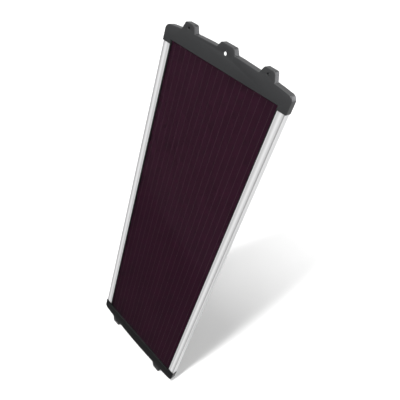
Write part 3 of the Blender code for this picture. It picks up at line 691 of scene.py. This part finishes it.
def build_cap(name, node, edge, outward, has_middle_tab):
    """outward is 1 for the upper cap and -1 for the lower one, whose heights run downwards."""

    def turn(outline):
        return [(x, edge + z * outward) for x, z in outline][::outward]

    def across(low, high):
        return sorted((edge + low * outward, edge + high * outward))

    outline = cap_outline(has_middle_tab)
    cap = Solid(plate(turn(outline), 0, CAP_DEPTH, CAP_FILLET, CAP_REAR_FILLET))
    behind = CAP_DEPTH + PAST
    channel = RAIL_INNER + PAST / 2
    full = (-CAP_HALF_WIDTH - PAST, CAP_HALF_WIDTH + PAST)

    over_arc = [(x, z) for x, z, _ in arc_stretch(full[0], full[1])]
    above = [(over_arc[-1][0], TAB_HEIGHT + PAST), (over_arc[0][0], TAB_HEIGHT + PAST)]
    cap.cut(plate(turn(over_arc + above), TAB_DEPTH, behind))
    cap.cut(plate(turn(cap_pocket(outline)), CAP_FACE, behind))
    cap.cut(block((-channel, channel), (CAP_FACE, RAIL_REAR_LIP), across(-LEG_LENGTH - PAST, CHANNEL_TOP)))
    rear = (RAIL_REAR_LIP + CAP_WALL, behind)
    cap.cut(block((-channel, channel), rear, across(-LEG_LENGTH - PAST, CHANNEL_TOP + CAP_WALL + PAST)))
    for side in (-1, 1):
        socket = sorted((side * (RAIL_INNER - CLEAR), side * (RAIL_OUTER + CLEAR)))
        along = across(-LEG_LENGTH - PAST, RAIL_INTO_CAP + CLEAR)
        cap.cut(block(socket, (RAIL_FRONT - CLEAR, behind), along))

    for side in (-1, 1):
        chamber = (RAIL_BOX_INNER + RAIL_WALL, RAIL_OUTER - RAIL_WALL)
        tongue = sorted((side * (chamber[0] + CLEAR), side * (chamber[1] - CLEAR)))
        depth = (CHAMBER_FRONT + CLEAR, CAP_DEPTH - RAIL_WALL - CLEAR)
        cap.add(block(tongue, depth, across(-TONGUE_REACH, RAIL_INTO_CAP + PAST)))
        for place in RIB_PLACES:
            rib = (side * place - RIB_THICK / 2, side * place + RIB_THICK / 2)
            top = SCREW_HOLE_HEIGHT - BOSS_RADIUS / 2 if place == OUTER_TAB_AT else cap_arc(place) - PAST
            cap.add(block(rib, (CAP_FACE - PAST, RIB_DEPTH), across(CHANNEL_TOP + PAST, top)))
        at = (side * OUTER_TAB_AT, edge + outward * SCREW_HOLE_HEIGHT)
        boss = [
            (CAP_FACE - PAST, BOSS_RADIUS),
            (CAP_DEPTH - BOSS_CHAMFER, BOSS_RADIUS),
            (CAP_DEPTH, BOSS_RADIUS - BOSS_CHAMFER),
        ]
        cap.add(turned(boss, at))
        cap.cut(hole_with_rims(SCREW_HOLE_RADIUS, CAP_DEPTH, at))
        for height in CAP_SCREW_HEIGHTS:
            pilot_at = (side * CAP_SCREW_AT, edge + outward * height)
            pilot = [(CAP_DEPTH - PILOT_DEPTH, PILOT_RADIUS), (behind, PILOT_RADIUS)]
            cap.cut(turned(pilot, pilot_at, sides=24))
    if has_middle_tab:
        hanging_at = (0, edge + HANGING_HOLE_HEIGHT)
        cap.cut(hole_with_rims(HANGING_HOLE_RADIUS, CAP_FACE, hanging_at, HANGING_HOLE_RIM))
    return make_piece(name, cap.finished(), "cap_plastic", [node])


# ---------------------------------------------------------------- side rails and gaskets


def rail_section():
    """The right rail's section: a bead along the glass, a dip, a flat and a groove near the outer edge."""
    flat = RAIL_FRONT + FLAT_DROP
    dip = BEAD_START + BEAD_WIDTH
    groove = (GROOVE_CENTRE - GROOVE_WIDTH / 2, GROOVE_CENTRE + GROOVE_WIDTH / 2)
    floor = RAIL_FRONT + GROOVE_DEPTH
    return rounded([
        (BEAD_START, RAIL_FRONT, 0.75),
        (dip, RAIL_FRONT, 0.5),
        (dip + DIP_SLOPE, RAIL_FRONT + DIP_DEPTH, 0.2),
        (dip + DIP_WIDTH - DIP_SLOPE, RAIL_FRONT + DIP_DEPTH, 0.2),
        (dip + DIP_WIDTH, flat, 0.25),
        (groove[0], flat, 0.3),
        (groove[0] + GROOVE_SLOPE, floor, 0.3),
        (groove[1] - GROOVE_SLOPE, floor, 0.3),
        (groove[1], flat, 0.3),
        (RAIL_OUTER, flat, 0.8),
        (RAIL_OUTER, CAP_DEPTH, 0.7),
        (RAIL_BOX_INNER, CAP_DEPTH, 0.4),
        (RAIL_BOX_INNER, RAIL_REAR_LIP + RAIL_LIP, 0.5),
        (REAR_LIP_START, RAIL_REAR_LIP + RAIL_LIP, 0.4),
        (REAR_LIP_START, RAIL_REAR_LIP, 0.3),
        (RAIL_BOX_INNER, RAIL_REAR_LIP, 0.2),
        (RAIL_BOX_INNER, RAIL_FRONT + RAIL_LIP, 0.2),
        (BEAD_START, RAIL_FRONT + RAIL_LIP, 0.2),
    ], step=SECTION_STEP)


def cap_screw_places(side):
    """Where the cap screws sit on one rail, from the bottom up."""
    below = [BOTTOM_EDGE - height for height in reversed(CAP_SCREW_HEIGHTS)]
    above = [TOP_EDGE + height for height in CAP_SCREW_HEIGHTS]
    return [(side * CAP_SCREW_AT, z) for z in below + above]


def build_rail(name, node, side):
    section = rail_section() if side > 0 else mirrored(rail_section())
    rail = Solid(extrusion(section, RAIL_LOW.z, RAIL_HIGH.z))
    chamber = sorted((side * (RAIL_BOX_INNER + RAIL_WALL), side * (RAIL_OUTER - RAIL_WALL)))
    depth = (CHAMBER_FRONT, CAP_DEPTH - RAIL_WALL)
    rail.cut(block(chamber, depth, (RAIL_LOW.z - PAST, RAIL_HIGH.z + PAST)))
    sink = countersink(CAP_DEPTH - RAIL_WALL - PAST, CAP_DEPTH, RAIL_SCREW_RADIUS, RAIL_SCREW_SINK)
    for place in cap_screw_places(side):
        rail.cut(turned(sink, place, sides=32))
    return make_piece(name, rail.finished(), "rail_aluminium", [node])


def build_side_gasket(name, node, side):
    """A U section round the laminate's long edge, with the rounded bead that shows beside the rail."""
    inner = GASKET_LOW.x
    web = GASKET_HIGH.x - GASKET_WEB
    section = rounded([
        (inner, GASKET_FRONT + GASKET_LIP, 0.15),
        (inner, GASKET_FRONT + GASKET_LIP / 2, 0.15),
        (inner + 0.5, GASKET_LOW.y, 0.5),
        (BEAD_START - 0.15, GASKET_LOW.y, 0.4),
        (BEAD_START - 0.15, GASKET_FRONT, 0.2),
        (web + GASKET_WEB, GASKET_FRONT, 0.3),
        (web + GASKET_WEB, GASKET_BACK, 0.3),
        (RAIL_INNER, GASKET_BACK, 0.25),
        (RAIL_INNER, GASKET_BACK - GASKET_LIP, 0.15),
        (web, GASKET_BACK - GASKET_LIP, 0.1),
        (web, GASKET_FRONT + GASKET_LIP, 0.1),
    ], step=SECTION_STEP)
    if side < 0:
        section = mirrored(section)
    gasket = Solid(extrusion(section, GASKET_LOW.z, GASKET_HIGH.z))
    bead = sorted((side * (inner - PAST), side * (BEAD_START + CLEAR)))
    depth = (GASKET_LOW.y - PAST, GASKET_FRONT)
    for end, inside in ((GASKET_LOW.z, BOTTOM_EDGE + CLEAR), (GASKET_HIGH.z, TOP_EDGE - CLEAR)):
        beyond = end + math.copysign(PAST, end - inside)
        gasket.cut(block(bead, depth, sorted((beyond, inside))))
    return make_piece(name, gasket.finished(), "gasket_rubber", [node])


def build_end_gasket(name, node):
    """A U section round the laminate's short edge, inside an end cap."""
    low, high = box_mm(node)
    outward = 1 if high.z > GLASS_HIGH.z else -1
    inside, outside = (low.z, high.z) if outward > 0 else (high.z, low.z)
    web = outside - outward * GASKET_WEB
    section = rounded([
        (GASKET_FRONT, inside, 0.25),
        (GASKET_FRONT, outside, 0.3),
        (GASKET_BACK, outside, 0.3),
        (GASKET_BACK, inside, 0.25),
        (GASKET_BACK - GASKET_LIP, inside, 0.15),
        (GASKET_BACK - GASKET_LIP, web, 0.1),
        (GASKET_FRONT + GASKET_LIP, web, 0.1),
        (GASKET_FRONT + GASKET_LIP, inside, 0.15),
    ], step=SECTION_STEP)
    mesh = loft([[(x, y, z) for y, z in section] for x in (low.x, high.x)])
    return make_piece(name, mesh, "gasket_rubber", [node])


# ---------------------------------------------------------------- cells


def scribe_places():
    return [(n - (SCRIBE_COUNT - 1) / 2) * CELL_PITCH for n in range(SCRIBE_COUNT)]


def build_cells():
    """The film with a groove along each scribed line, and the lines at the bottom of the grooves."""
    section = [(FILM_HIGH.x, FILM_HIGH.y), (FILM_LOW.x, FILM_HIGH.y), (FILM_LOW.x, FILM_LOW.y)]
    floor = FILM_LOW.y + SCRIBE_DEPTH
    for x in scribe_places():
        left, right = x - SCRIBE_WIDTH / 2, x + SCRIBE_WIDTH / 2
        section += [(left, FILM_LOW.y), (left, floor), (right, floor), (right, FILM_LOW.y)]
    section.append((FILM_HIGH.x, FILM_LOW.y))
    make_piece("cell_film", extrusion(section, FILM_LOW.z, FILM_HIGH.z), "cell_film", ["thin_film_cells"])

    lines = bmesh.new()
    half = SCRIBE_WIDTH / 2 - LINE_SIDE_GAP
    depth = (floor - LINE_GAP - LINE_THICK, floor - LINE_GAP)
    for x in scribe_places():
        line = block((x - half, x + half), depth, (FILM_LOW.z + SCRIBE_END, FILM_HIGH.z - SCRIBE_END))
        lines.from_mesh(line)
        bpy.data.meshes.remove(line)
    mesh = bpy.data.meshes.new("scribed_lines")
    lines.to_mesh(mesh)
    lines.free()
    make_piece("scribed_lines", mesh, "cell_film", material=scribed_line("scribed_line_contact"))


# ---------------------------------------------------------------- junction box


BOX_CORNER = 5.0
BOX_WALL = 1.8
BOX_FLOOR = 1.5
LID_SCREW_AT = (26.8, 17.8)
LID_BOSS_RADIUS = 3.4
LID_PILOT_DEPTH, LID_PILOT_RADIUS = 6.5, 1.35
LID_SCREW_RADIUS, LID_SCREW_SINK = 1.4, 2.8
LID_FILLET = 0.7
PAD_INSET_X, PAD_INSET_Z = 12, 5
PAD_CORNER = 3.0
PAD_STEP_WIDTH, PAD_STEP_DEPTH = 0.9, 0.45
PAD_ROOT = 0.4  # how deep in the lid the raised pad starts
RIBBON_EXIT = (9.0, 13.0)
RIBBON_THICK = 0.15
RIBBON_SLOT = (2.0, 6.4)
GROMMET_HOLE = (11.5, 7.1)
GROMMET_FLAT = 0.02  # keeps the hole's two round ends from meeting in doubled points
BOX_MIDDLE_Z = (LID_LOW.z + LID_HIGH.z) / 2


def lid_screw_places():
    x, z = LID_SCREW_AT
    return [(right * x, BOX_MIDDLE_Z + up * z) for up in (1, -1) for right in (-1, 1)]


def build_box_base():
    outline = rounded_rectangle((BASE_LOW.x, BASE_LOW.z), (BASE_HIGH.x, BASE_HIGH.z), BOX_CORNER)
    floor = BASE_LOW.y + BOX_FLOOR
    base = Solid(plate(outline, BASE_LOW.y, BASE_HIGH.y, 0.3, 0.2))
    base.cut(plate(inset(outline, BOX_WALL), floor, BASE_HIGH.y + PAST))
    for place in lid_screw_places():
        base.add(turned([(floor - PAST / 2, LID_BOSS_RADIUS), (BASE_HIGH.y, LID_BOSS_RADIUS)], place))
        pilot = [(BASE_HIGH.y - LID_PILOT_DEPTH, LID_PILOT_RADIUS), (BASE_HIGH.y + PAST, LID_PILOT_RADIUS)]
        base.cut(turned(pilot, place, sides=24))
    for side in (-1, 1):
        x = side * (RIBBON_EXIT[0] + RIBBON_THICK / 2)
        z = BOX_MIDDLE_Z + RIBBON_EXIT[1]
        wide, tall = RIBBON_SLOT[0] / 2, RIBBON_SLOT[1] / 2
        base.cut(block((x - wide, x + wide), (BASE_LOW.y - PAST, floor + PAST), (z - tall, z + tall)))
    across, deep = GROMMET_HOLE[0] / 2, GROMMET_HOLE[1] / 2
    middle = (floor + BASE_HIGH.y) / 2
    outlet = rounded_rectangle((-across, middle - deep), (across, middle + deep), deep - GROMMET_FLAT)
    base.cut(extrusion(outlet, BASE_LOW.z - PAST, BASE_LOW.z + BOX_WALL + PAST))
    return make_piece("box_base_shell", base.finished(), "box_plastic", ["junction_box_base"])


def build_box_lid():
    """The lid: a rounded edge, a raised middle pad with a step round it, and countersunk screw holes."""
    outline = rounded_rectangle((LID_LOW.x, LID_LOW.z), (LID_HIGH.x, LID_HIGH.z), BOX_CORNER)
    lid = Solid(plate(outline, LID_LOW.y, LID_HIGH.y, 0.0, LID_FILLET))
    low = (LID_LOW.x + PAD_INSET_X, LID_LOW.z + PAD_INSET_Z)
    high = (LID_HIGH.x - PAD_INSET_X, LID_HIGH.z - PAD_INSET_Z)
    pad = rounded_rectangle(low, high, PAD_CORNER)
    lid.cut(plate(pad, LID_HIGH.y - PAD_STEP_DEPTH, LID_HIGH.y + PAST))
    lid.add(plate(inset(pad, PAD_STEP_WIDTH), LID_LOW.y + PAD_ROOT, LID_HIGH.y, 0.0, 0.3))
    sink = countersink(LID_LOW.y - PAST, LID_HIGH.y, LID_SCREW_RADIUS, LID_SCREW_SINK)
    for place in lid_screw_places():
        lid.cut(turned(sink, place, sides=32))
    return make_piece("box_lid_shell", lid.finished(), "box_plastic", ["junction_box_lid"])


# ---------------------------------------------------------------- screws


SHANK_SHARE = 0.48  # of the head's radius
ROOT_SHARE = 0.8  # of the shank's radius
PITCH_SHARE = 0.75  # of the shank's radius
SCREW_POINT = 0.9
THREAD_START = 1.2
PLAIN_NECK = 0.6
RECESS_DEPTH = 0.85
CAP_SCREW_RECESS, LID_SCREW_RECESS = 1.5, 1.2


def build_screw(node, recess_reach):
    """A countersunk screw that points into the panel, with a slightly domed head and a cross recess."""
    low, high = box_mm(node)
    centre = ((low.x + high.x) / 2, (low.z + high.z) / 2)
    head = (high.x - low.x) / 2
    shank = head * SHANK_SHARE
    top = high.y
    profile = [(low.y, shank * 0.35), (low.y + SCREW_POINT, shank)]
    pitch = shank * PITCH_SHARE
    thread_start = low.y + THREAD_START
    turns = int((top - head - PLAIN_NECK - thread_start) / pitch)
    for n in range(turns):
        start = thread_start + n * pitch
        profile += [(start, shank * ROOT_SHARE), (start + pitch / 2, shank)]
    profile += [
        (top - head + shank - 0.35, shank * 0.9),
        (top - 0.3, head),
        (top - 0.16, head),
        (top - 0.1, head * 0.9),
        (top - 0.03, head * 0.6),
        (top, head * 0.25),
    ]
    screw = Solid(turned(profile, centre, sides=40))
    half, bottom = recess_reach / 4, top - RECESS_DEPTH
    for across, along in ((recess_reach, half), (half, recess_reach)):
        rings = []
        for depth, taper in ((bottom, 0.55), (top + PAST, 1.15)):
            x, z = across * taper, along * taper
            ring = [(-x, -z), (x, -z), (x, z), (-x, z)]
            rings.append([(centre[0] + u, depth, centre[1] + v) for u, v in ring])
        screw.cut(loft(rings))
    return make_piece(f"{node}_cut", screw.finished(), "screw_steel", [node])


# ---------------------------------------------------------------- the panel


SOFT_EDGE = 0.15


def soften(node):
    """Rounds a carried-over CAD node's edges without touching its mesh."""
    obj = frame["nodes"][node]
    weld = obj.modifiers.new("Weld", "WELD")
    weld.merge_threshold = 1e-6
    flat = obj.modifiers.new("Merge flats", "DECIMATE")
    flat.decimate_type = "DISSOLVE"
    flat.angle_limit = math.radians(0.5)
    bevel = obj.modifiers.new("Edges", "BEVEL")
    bevel.width = SOFT_EDGE * MM
    bevel.segments = 2
    bevel.limit_method = "ANGLE"
    bevel.angle_limit = math.radians(40)
    bevel.harden_normals = True


def dress_cad_nodes():
    """Every CAD node that stays takes its slot's finish."""
    for subpart in frame["record"]["subparts"]:
        obj = frame["nodes"][subpart["node"]]
        obj.data.materials.clear()
        obj.data.materials.append(FINISH[subpart["material_slot"]])


def build_panel():
    dress_cad_nodes()
    cap_top = build_cap("cap_shell_top", "end_cap_top", TOP_EDGE, 1, has_middle_tab=True)
    build_cap("cap_shell_bottom", "end_cap_bottom", BOTTOM_EDGE, -1, has_middle_tab=False)
    rails = []
    for side, name in ((-1, "left"), (1, "right")):
        rails.append(build_rail(f"rail_profile_{name}", f"side_rail_{name}", side))
        build_side_gasket(f"gasket_profile_{name}", f"glazing_gasket_{name}", side)
        for spot in ("bottom_outer", "bottom_inner", "top_inner", "top_outer"):
            build_screw(f"cap_screw_{name}_{spot}", CAP_SCREW_RECESS)
    for end in ("top", "bottom"):
        build_end_gasket(f"gasket_profile_{end}", f"glazing_gasket_{end}")
        for name in ("left", "right"):
            build_screw(f"lid_screw_{end}_{name}", LID_SCREW_RECESS)
    build_cells()
    build_box_base()
    build_box_lid()
    for node in ("cable_grommet", "terminal_block", "junction_box_pad"):
        soften(node)
    return cap_top, rails


# ---------------------------------------------------------------- studio

CAMERA_AZIMUTH = 32.8
CAMERA_ELEVATION = 35.95
CAMERA_ROLL = 19.1
CAMERA_DISTANCE = 964.6
CAMERA_AIM = (52.7, 662.3)  # across and up, on the glass
LENS = 37.5
SENSOR = 36.0
CAMERA_REACH = 200.0

WORLD_LIGHT = 0.83
WHITE_BEHIND = 1.05

FLOOR_TONE = 0.56
FLOOR_MOTTLE = 0.005
FLOOR_RADIUS = 30.0
FLOOR_Z = -0.0005
DISC_SIDES = 128

UP = (0, 0, 1)
# Each card's name, centre, radius, width as a share of its length, glow, facing, and whether glass shows it.
CARDS = (
    ("dark_flag", (0, -8.012, 0.004), 8.0, 1.0, (0.022, 0.020, 0.022), UP, True),
    ("round_card", (0.2, -8.4, 0.008), 8.0, 0.475, (0.052, 0.040, 0.048), UP, True),
    ("rim_card", (0.62, 1.02, 1.35), 0.45, 1.0, (4.6, 4.6, 4.75), (-0.42, -0.85, -0.3), False),
    # shade_card: a dark card where the panel's shadow falls, a painted reflection of that shadow that only
    # gloss sees.
    ("shade_card", (0.52, 0.43, 0.004), 0.42, 1.0, (0.12, 0.12, 0.12), UP, False),
)

SKIRT_INSET = 3.0
SKIRT_DEPTH = (13.0, 14.0)
SKIRT_HEIGHT = 27.0

# The floor's suns: a tall strip light in front, as five suns one above the other, a low one for the long
# shadow, and two wide soft ones. Angles are in degrees. A share is how bright the sun makes an open floor.
FRONT_AZIMUTH = 3
TALL_STRIP = range(46, 71, 6)
TALL_STRIP_SHARE = 0.083
LOW_STRIP = 12
LOW_STRIP_SHARE = 0.31
STRIP_WIDTH = 7
SOFT_AZIMUTHS = (-35, 35)
SOFT_ELEVATION = 25
SOFT_SHARE = 0.08
SOFT_WIDTH = 35

# Where each of the panel's own suns stands, its strength and its width in degrees.
RAIL_KEY = ((-0.5, -2.0, 1.6), 1.15, 30)
CAP_KEY = ((0.1, -0.9, 0.9), 5.2, 40)


def build_camera():
    """It looks down at the glass from its right, rolled so that the panel leans in the picture."""
    azimuth, elevation = math.radians(CAMERA_AZIMUTH), math.radians(CAMERA_ELEVATION)
    level = math.cos(elevation)
    away = Vector((math.sin(azimuth) * level, -math.cos(azimuth) * level, math.sin(elevation)))
    aim = to_world((CAMERA_AIM[0], GLASS_LOW.y, CAMERA_AIM[1]))
    camera = bpy.data.objects.new("camera", bpy.data.cameras.new("camera"))
    camera.data.lens = LENS
    camera.data.sensor_width = SENSOR
    camera.data.clip_end = CAMERA_REACH
    camera.location = aim + away * CAMERA_DISTANCE * MM
    roll = Quaternion((0, 0, 1), math.radians(CAMERA_ROLL))
    camera.rotation_mode = "QUATERNION"
    camera.rotation_quaternion = (-away).to_track_quat("-Z", "Y") @ roll
    bpy.context.scene.collection.objects.link(camera)
    bpy.context.scene.camera = camera


def build_world():
    """Even pale light from all round. The camera sees it white, so that the floor has no horizon."""
    world = bpy.data.worlds.new("studio_world")
    bpy.context.scene.world = world
    world.use_nodes = True
    tree = world.node_tree
    background = tree.nodes["Background"]
    background.inputs["Color"].default_value = (WORLD_LIGHT, WORLD_LIGHT, WORLD_LIGHT, 1.0)
    white = tree.nodes.new("ShaderNodeBackground")
    white.inputs["Color"].default_value = (1.0, 1.0, 1.0, 1.0)
    white.inputs["Strength"].default_value = WHITE_BEHIND
    path = tree.nodes.new("ShaderNodeLightPath")
    mix = tree.nodes.new("ShaderNodeMixShader")
    tree.links.new(path.outputs["Is Camera Ray"], mix.inputs["Fac"])
    tree.links.new(background.outputs["Background"], mix.inputs[1])
    tree.links.new(white.outputs["Background"], mix.inputs[2])
    tree.links.new(mix.outputs["Shader"], tree.nodes["World Output"].inputs["Surface"])


def glow_material(name, strength):
    material = bpy.data.materials.new(name)
    material.use_nodes = True
    tree = material.node_tree
    tree.nodes.clear()
    emission = tree.nodes.new("ShaderNodeEmission")
    emission.inputs["Color"].default_value = (*strength, 1.0)
    output = tree.nodes.new("ShaderNodeOutputMaterial")
    tree.links.new(emission.outputs["Emission"], output.inputs["Surface"])
    return material


def stage_piece(name, mesh, material, *rays):
    """A part of the studio, which only these kinds of ray see."""
    mesh.materials.append(material)
    piece = bpy.data.objects.new(name, mesh)
    for ray in ("camera", "diffuse", "glossy", "transmission", "shadow", "volume_scatter"):
        setattr(piece, f"visible_{ray}", ray in rays)
    bpy.context.scene.collection.objects.link(piece)
    return piece


def disc_mesh(radius):
    bm = bmesh.new()
    bmesh.ops.create_circle(bm, cap_ends=True, segments=DISC_SIDES, radius=radius)
    mesh = bpy.data.meshes.new("disc")
    bm.to_mesh(mesh)
    bm.free()
    return mesh


def build_floor():
    """Plain and pale. The panel's gloss doesn't show it, and its own light comes from suns of its own."""
    shader = Shader("studio_floor")
    mottle = shader.noise(400, detail=2)
    light, dark = (FLOOR_TONE + FLOOR_MOTTLE,) * 3, (FLOOR_TONE - FLOOR_MOTTLE,) * 3
    shader.colour(shader.blend(shader.spread(mottle, 0, 1), light, dark))
    shader.roughness(shader.spread(mottle, 0.85, 0.9))
    shader.set(specular_ior_level=0.0)
    floor = stage_piece("studio_floor", disc_mesh(FLOOR_RADIUS), shader.material, "camera", "shadow")
    floor.location.z = FLOOR_Z
    return floor


def build_cards():
    """What the gloss mirrors: a dark flag in front, an oval card there whose rim curves across the glass,
    a bright card behind for the upper cap's edges, and a dark one on the floor for the lower cap's, a
    painted reflection of the panel's shadow there."""
    for name, centre, radius, width, glow, facing, through_glass in CARDS:
        rays = ("glossy", "transmission") if through_glass else ("glossy",)
        card = stage_piece(name, disc_mesh(radius), glow_material(f"{name}_glow", glow), *rays)
        card.location = centre
        card.rotation_mode = "QUATERNION"
        card.rotation_quaternion = Vector(facing).to_track_quat("Z", "Y")
        card.scale.x = width


def build_skirt():
    """Keeps the floor's suns from leaking under the lower cap, between its tabs. Only its shadow is seen."""
    half = CAP_HALF_WIDTH - SKIRT_INSET
    mesh = block((-half, half), SKIRT_DEPTH, (0.0, SKIRT_HEIGHT))
    stage_piece("floor_light_skirt", mesh, glow_material("skirt_black", (0.0, 0.0, 0.0)), "shadow")


def sun_on(receivers, name, source, energy, width):
    """A sun that lights only these objects. Everything casts its shadow in it. The width is in degrees."""
    data = bpy.data.lights.new(name, "SUN")
    data.energy = energy
    data.angle = math.radians(width)
    sun = bpy.data.objects.new(name, data)
    sun.location = source
    sun.rotation_mode = "QUATERNION"
    sun.rotation_quaternion = (-Vector(source)).to_track_quat("-Z", "Y")
    bpy.context.scene.collection.objects.link(sun)
    lit = bpy.data.collections.new(f"{name}_receivers")
    for obj in receivers:
        lit.objects.link(obj)
    sun.light_linking.receiver_collection = lit


def light_floor(floor, azimuth, elevation, share, width):
    """A sun for the floor only, so that the panel's shadow is set apart from the light on the panel."""
    up, turn = math.radians(elevation), math.radians(azimuth)
    level = math.cos(up)
    source = (-math.sin(turn) * level, -math.cos(turn) * level, math.sin(up))
    energy = share * math.pi / (FLOOR_TONE * math.sin(up))
    sun_on([floor], f"floor_sun_{azimuth}_{elevation}", source, energy, width)


def build_lights(floor, cap_top, rails):
    light_floor(floor, FRONT_AZIMUTH, LOW_STRIP, LOW_STRIP_SHARE, STRIP_WIDTH)
    for elevation in TALL_STRIP:
        light_floor(floor, FRONT_AZIMUTH, elevation, TALL_STRIP_SHARE, STRIP_WIDTH)
    for azimuth in SOFT_AZIMUTHS:
        light_floor(floor, azimuth, SOFT_ELEVATION, SOFT_SHARE, SOFT_WIDTH)
    sun_on(rails, "rail_key", *RAIL_KEY)
    sun_on([cap_top], "cap_key", *CAP_KEY)


build_camera()
build_world()
cap_top, rails = build_panel()
build_cards()
build_skirt()
build_lights(build_floor(), cap_top, rails)

scene = bpy.context.scene
scene.view_settings.view_transform = "Standard"
scene.view_settings.look = "None"
